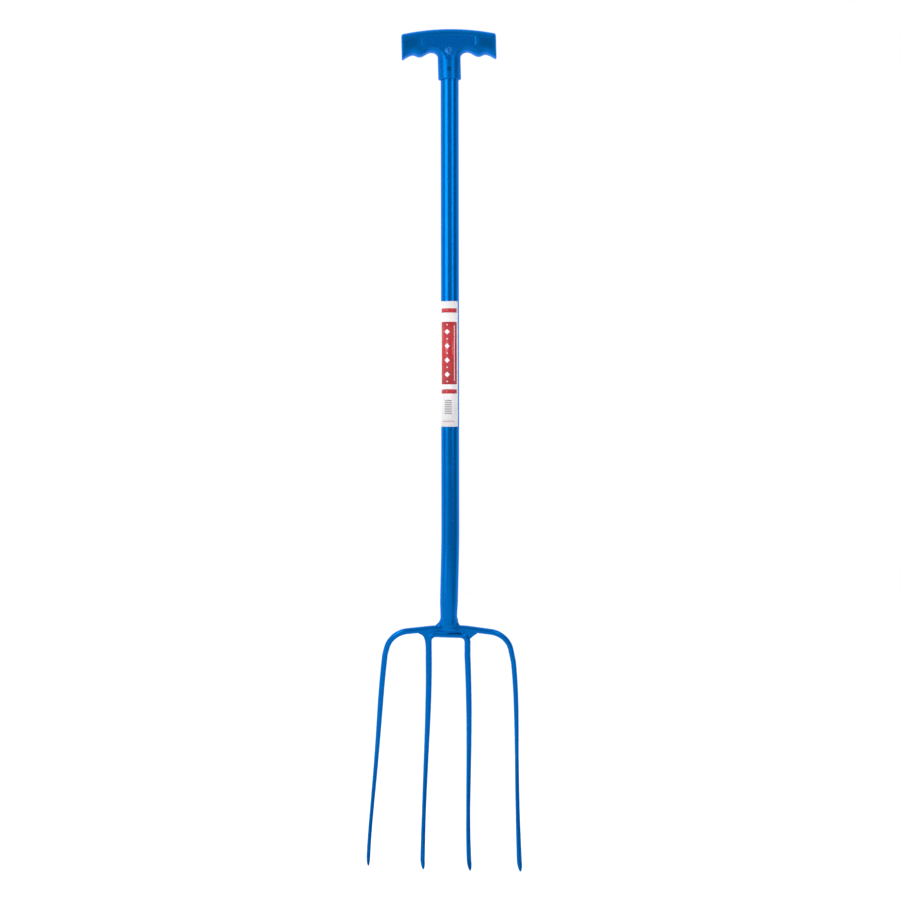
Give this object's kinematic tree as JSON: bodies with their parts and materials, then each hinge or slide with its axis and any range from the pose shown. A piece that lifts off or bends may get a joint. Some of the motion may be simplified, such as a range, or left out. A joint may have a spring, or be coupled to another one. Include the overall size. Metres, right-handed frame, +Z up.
{
  "type": "manure fork",
  "caption": "Long-handled manure fork with a straight tubular steel shaft, a moulded T grip with finger grooves, a cranked neck and slender curved tines on a welded head.",
  "frame": {"origin": "bottom centre of the bounding box, level with the lowest tine point, with the fork upright", "axes": "+Z up along the shaft towards the grip, +X to the right seen from the front, +Y towards the back; the tines bow towards +Y and their hollow side faces -Y"},
  "size_m": [0.2208, 0.0636, 1.1912],
  "materials": {
    "coated_steel": "gloss blue powder coat over steel",
    "grip_plastic": "satin moulded blue plastic with a knurled pad",
    "coated_screw": "satin blue coat over a steel screw",
    "label_film": "satin white printed film with a red panel"
  },
  "bodies": {
    "root": {"grip": "grip_plastic", "grip_screw": "coated_screw", "shaft_tube": "coated_steel", "label": "label_film", "outer_bow": "coated_steel", "inner_bow": "coated_steel", "neck_weld": "coated_steel", "seam_weld_front": "coated_steel", "seam_weld_back": "coated_steel", "shoulder_weld_left": "coated_steel", "shoulder_weld_right": "coated_steel"}
  },
  "joints": []
}
